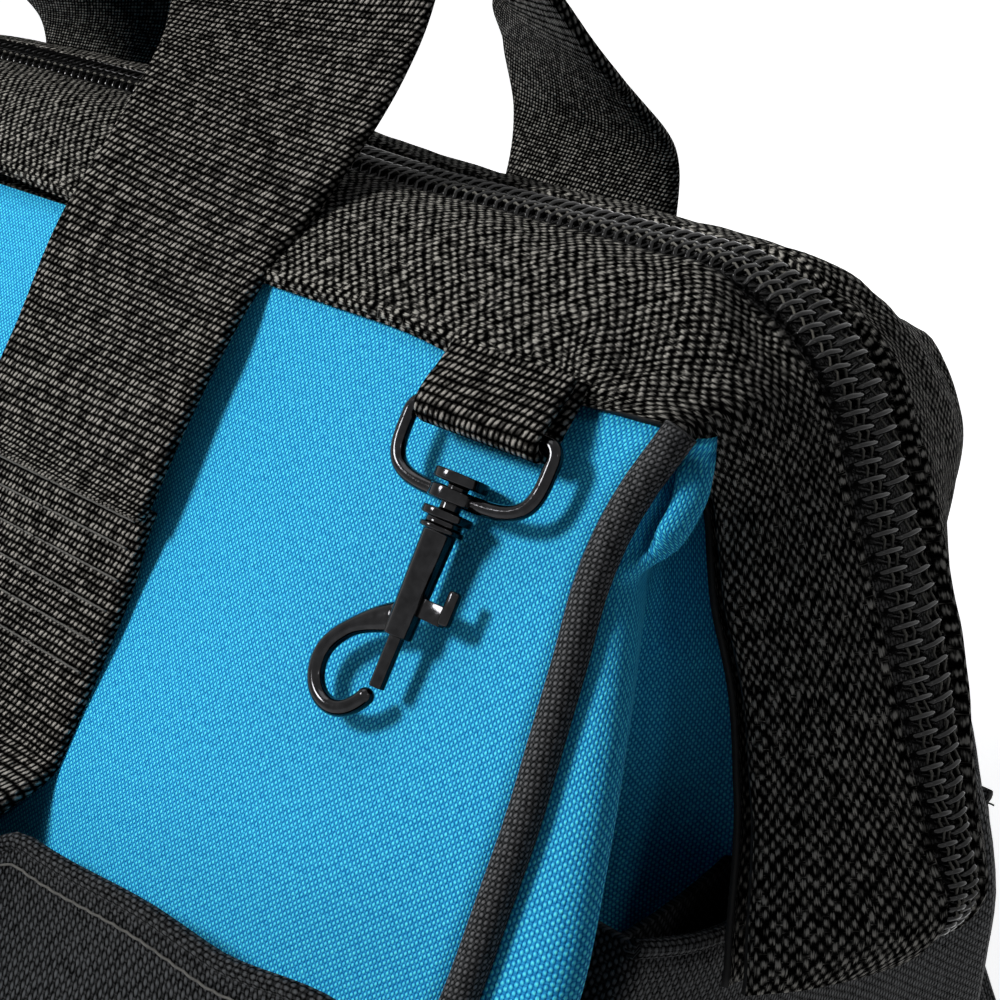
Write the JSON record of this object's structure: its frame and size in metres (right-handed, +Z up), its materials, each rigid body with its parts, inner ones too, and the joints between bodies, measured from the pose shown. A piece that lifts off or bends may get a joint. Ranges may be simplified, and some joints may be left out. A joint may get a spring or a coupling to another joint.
{
  "type": "gate-mouth tool bag",
  "caption": "Soft tool bag with a zip mouth on U-shaped wire frames, webbing handles, outer pockets, a moulded base and a swivel snap hook on a webbing tab.",
  "frame": {"origin": "middle of the flat underside of the base tray", "axes": "+X towards the bag's right end, along its length; -Y towards its front, which carries the snap hook; +Z up"},
  "size_m": [0.3978, 0.2102, 0.3131],
  "materials": {
    "blue_polyester": "matte basket weave",
    "black_polyester": "matte weave",
    "black_ballistic": "coarse weave",
    "black_webbing": "ribbed webbing",
    "piping_fabric": "fine weave",
    "zip_tape": "matte tape",
    "zip_nylon": "glossy nylon",
    "moulded_base": "matte",
    "lining": "matte",
    "frame_steel": "bright wire",
    "black_hardware": "semi-gloss black"
  },
  "bodies": {
    "shell": {"back_left_lower_piping": "piping_fabric", "back_left_lower_strap": "black_webbing", "back_lower_panel": "blue_polyester", "back_pocket": "black_polyester", "back_right_lower_piping": "piping_fabric", "back_right_lower_strap": "black_webbing", "base_board": "lining", "base_tray": "moulded_base", "front_left_lower_piping": "piping_fabric", "front_left_lower_strap": "black_webbing", "front_lower_panel": "blue_polyester", "front_pocket": "black_polyester", "front_right_lower_piping": "piping_fabric", "front_right_lower_strap": "black_webbing", "left_end_panel": "blue_polyester", "left_end_pocket": "black_polyester", "right_end_panel": "blue_polyester", "right_end_pocket": "black_polyester"},
    "front_mouth": {"front_upper_panel": "blue_polyester", "front_sleeve": "black_ballistic", "front_frame_rod": "frame_steel", "front_zip_tape": "zip_tape", "front_zip_coil": "zip_nylon", "front_left_upper_strap": "black_webbing", "front_right_upper_strap": "black_webbing", "front_left_upper_piping": "piping_fabric", "front_right_upper_piping": "piping_fabric", "front_left_gusset": "blue_polyester", "front_right_gusset": "blue_polyester", "tab_webbing": "black_webbing"},
    "back_mouth": {"back_upper_panel": "blue_polyester", "back_sleeve": "black_ballistic", "back_frame_rod": "frame_steel", "back_zip_tape": "zip_tape", "back_zip_coil": "zip_nylon", "back_left_upper_strap": "black_webbing", "back_right_upper_strap": "black_webbing", "back_left_upper_piping": "piping_fabric", "back_right_upper_piping": "piping_fabric", "back_left_gusset": "blue_polyester", "back_right_gusset": "blue_polyester"},
    "front_handle": {"front_handle_loop": "black_webbing"},
    "back_handle": {"back_handle_loop": "black_webbing"},
    "ring": {"d_ring": "black_hardware"},
    "hook": {"hook_body": "black_hardware"},
    "bolt": {"spring_bolt": "black_hardware"},
    "slider": {"zip_slider": "black_hardware"},
    "pull": {"zip_pull": "black_hardware"}
  },
  "joints": [
    {"name": "front_mouth_fold", "type": "hinge", "parent": "shell", "child": "front_mouth", "pos_m": [0, -0.0684, 0.1624], "axis": [1, 0, 0], "range_deg": [0, 32], "deforming": ["front_left_gusset", "front_right_gusset", "front_zip_tape", "front_zip_coil"]},
    {"name": "back_mouth_fold", "type": "hinge", "parent": "shell", "child": "back_mouth", "pos_m": [0, 0.0684, 0.1624], "axis": [1, 0, 0], "range_deg": [-32, 0], "deforming": ["back_left_gusset", "back_right_gusset", "back_zip_tape", "back_zip_coil"]},
    {"name": "front_handle_fold", "type": "hinge", "parent": "front_mouth", "child": "front_handle", "pos_m": [0, -0.05027, 0.20557], "axis": [1, 0, 0], "range_deg": [0, 100]},
    {"name": "back_handle_fold", "type": "hinge", "parent": "back_mouth", "child": "back_handle", "pos_m": [0, 0.05027, 0.20557], "axis": [1, 0, 0], "range_deg": [-90, 0]},
    {"name": "ring_swing", "type": "hinge", "parent": "front_mouth", "child": "ring", "pos_m": [0.144, -0.03707, 0.23078], "axis": [-1, 0, 0], "range_deg": [0, 120]},
    {"name": "hook_swivel", "type": "hinge", "parent": "ring", "child": "hook", "pos_m": [0.144, -0.04156, 0.22218], "axis": [0, 0.4626, 0.8866], "range_deg": [-12, 24]},
    {"name": "bolt_slide", "type": "slide", "parent": "hook", "child": "bolt", "axis": [0, 0.4626, 0.8866], "range_m": [0, 0.0045], "stiffness_N_per_m": 200, "springref_m": -0.002},
    {"name": "slider_run", "type": "slide", "parent": "front_mouth", "child": "slider", "axis": [1, 0, 0], "range_m": [-0.015, 0.245]},
    {"name": "pull_flip", "type": "hinge", "parent": "slider", "child": "pull", "pos_m": [-0.12, 0, 0.2516], "axis": [0, -1, 0], "range_deg": [0, 90]}
  ],
  "couplings": [
    {"joint": "back_mouth_fold", "follows": "front_mouth_fold", "ratio": -1}
  ]
}
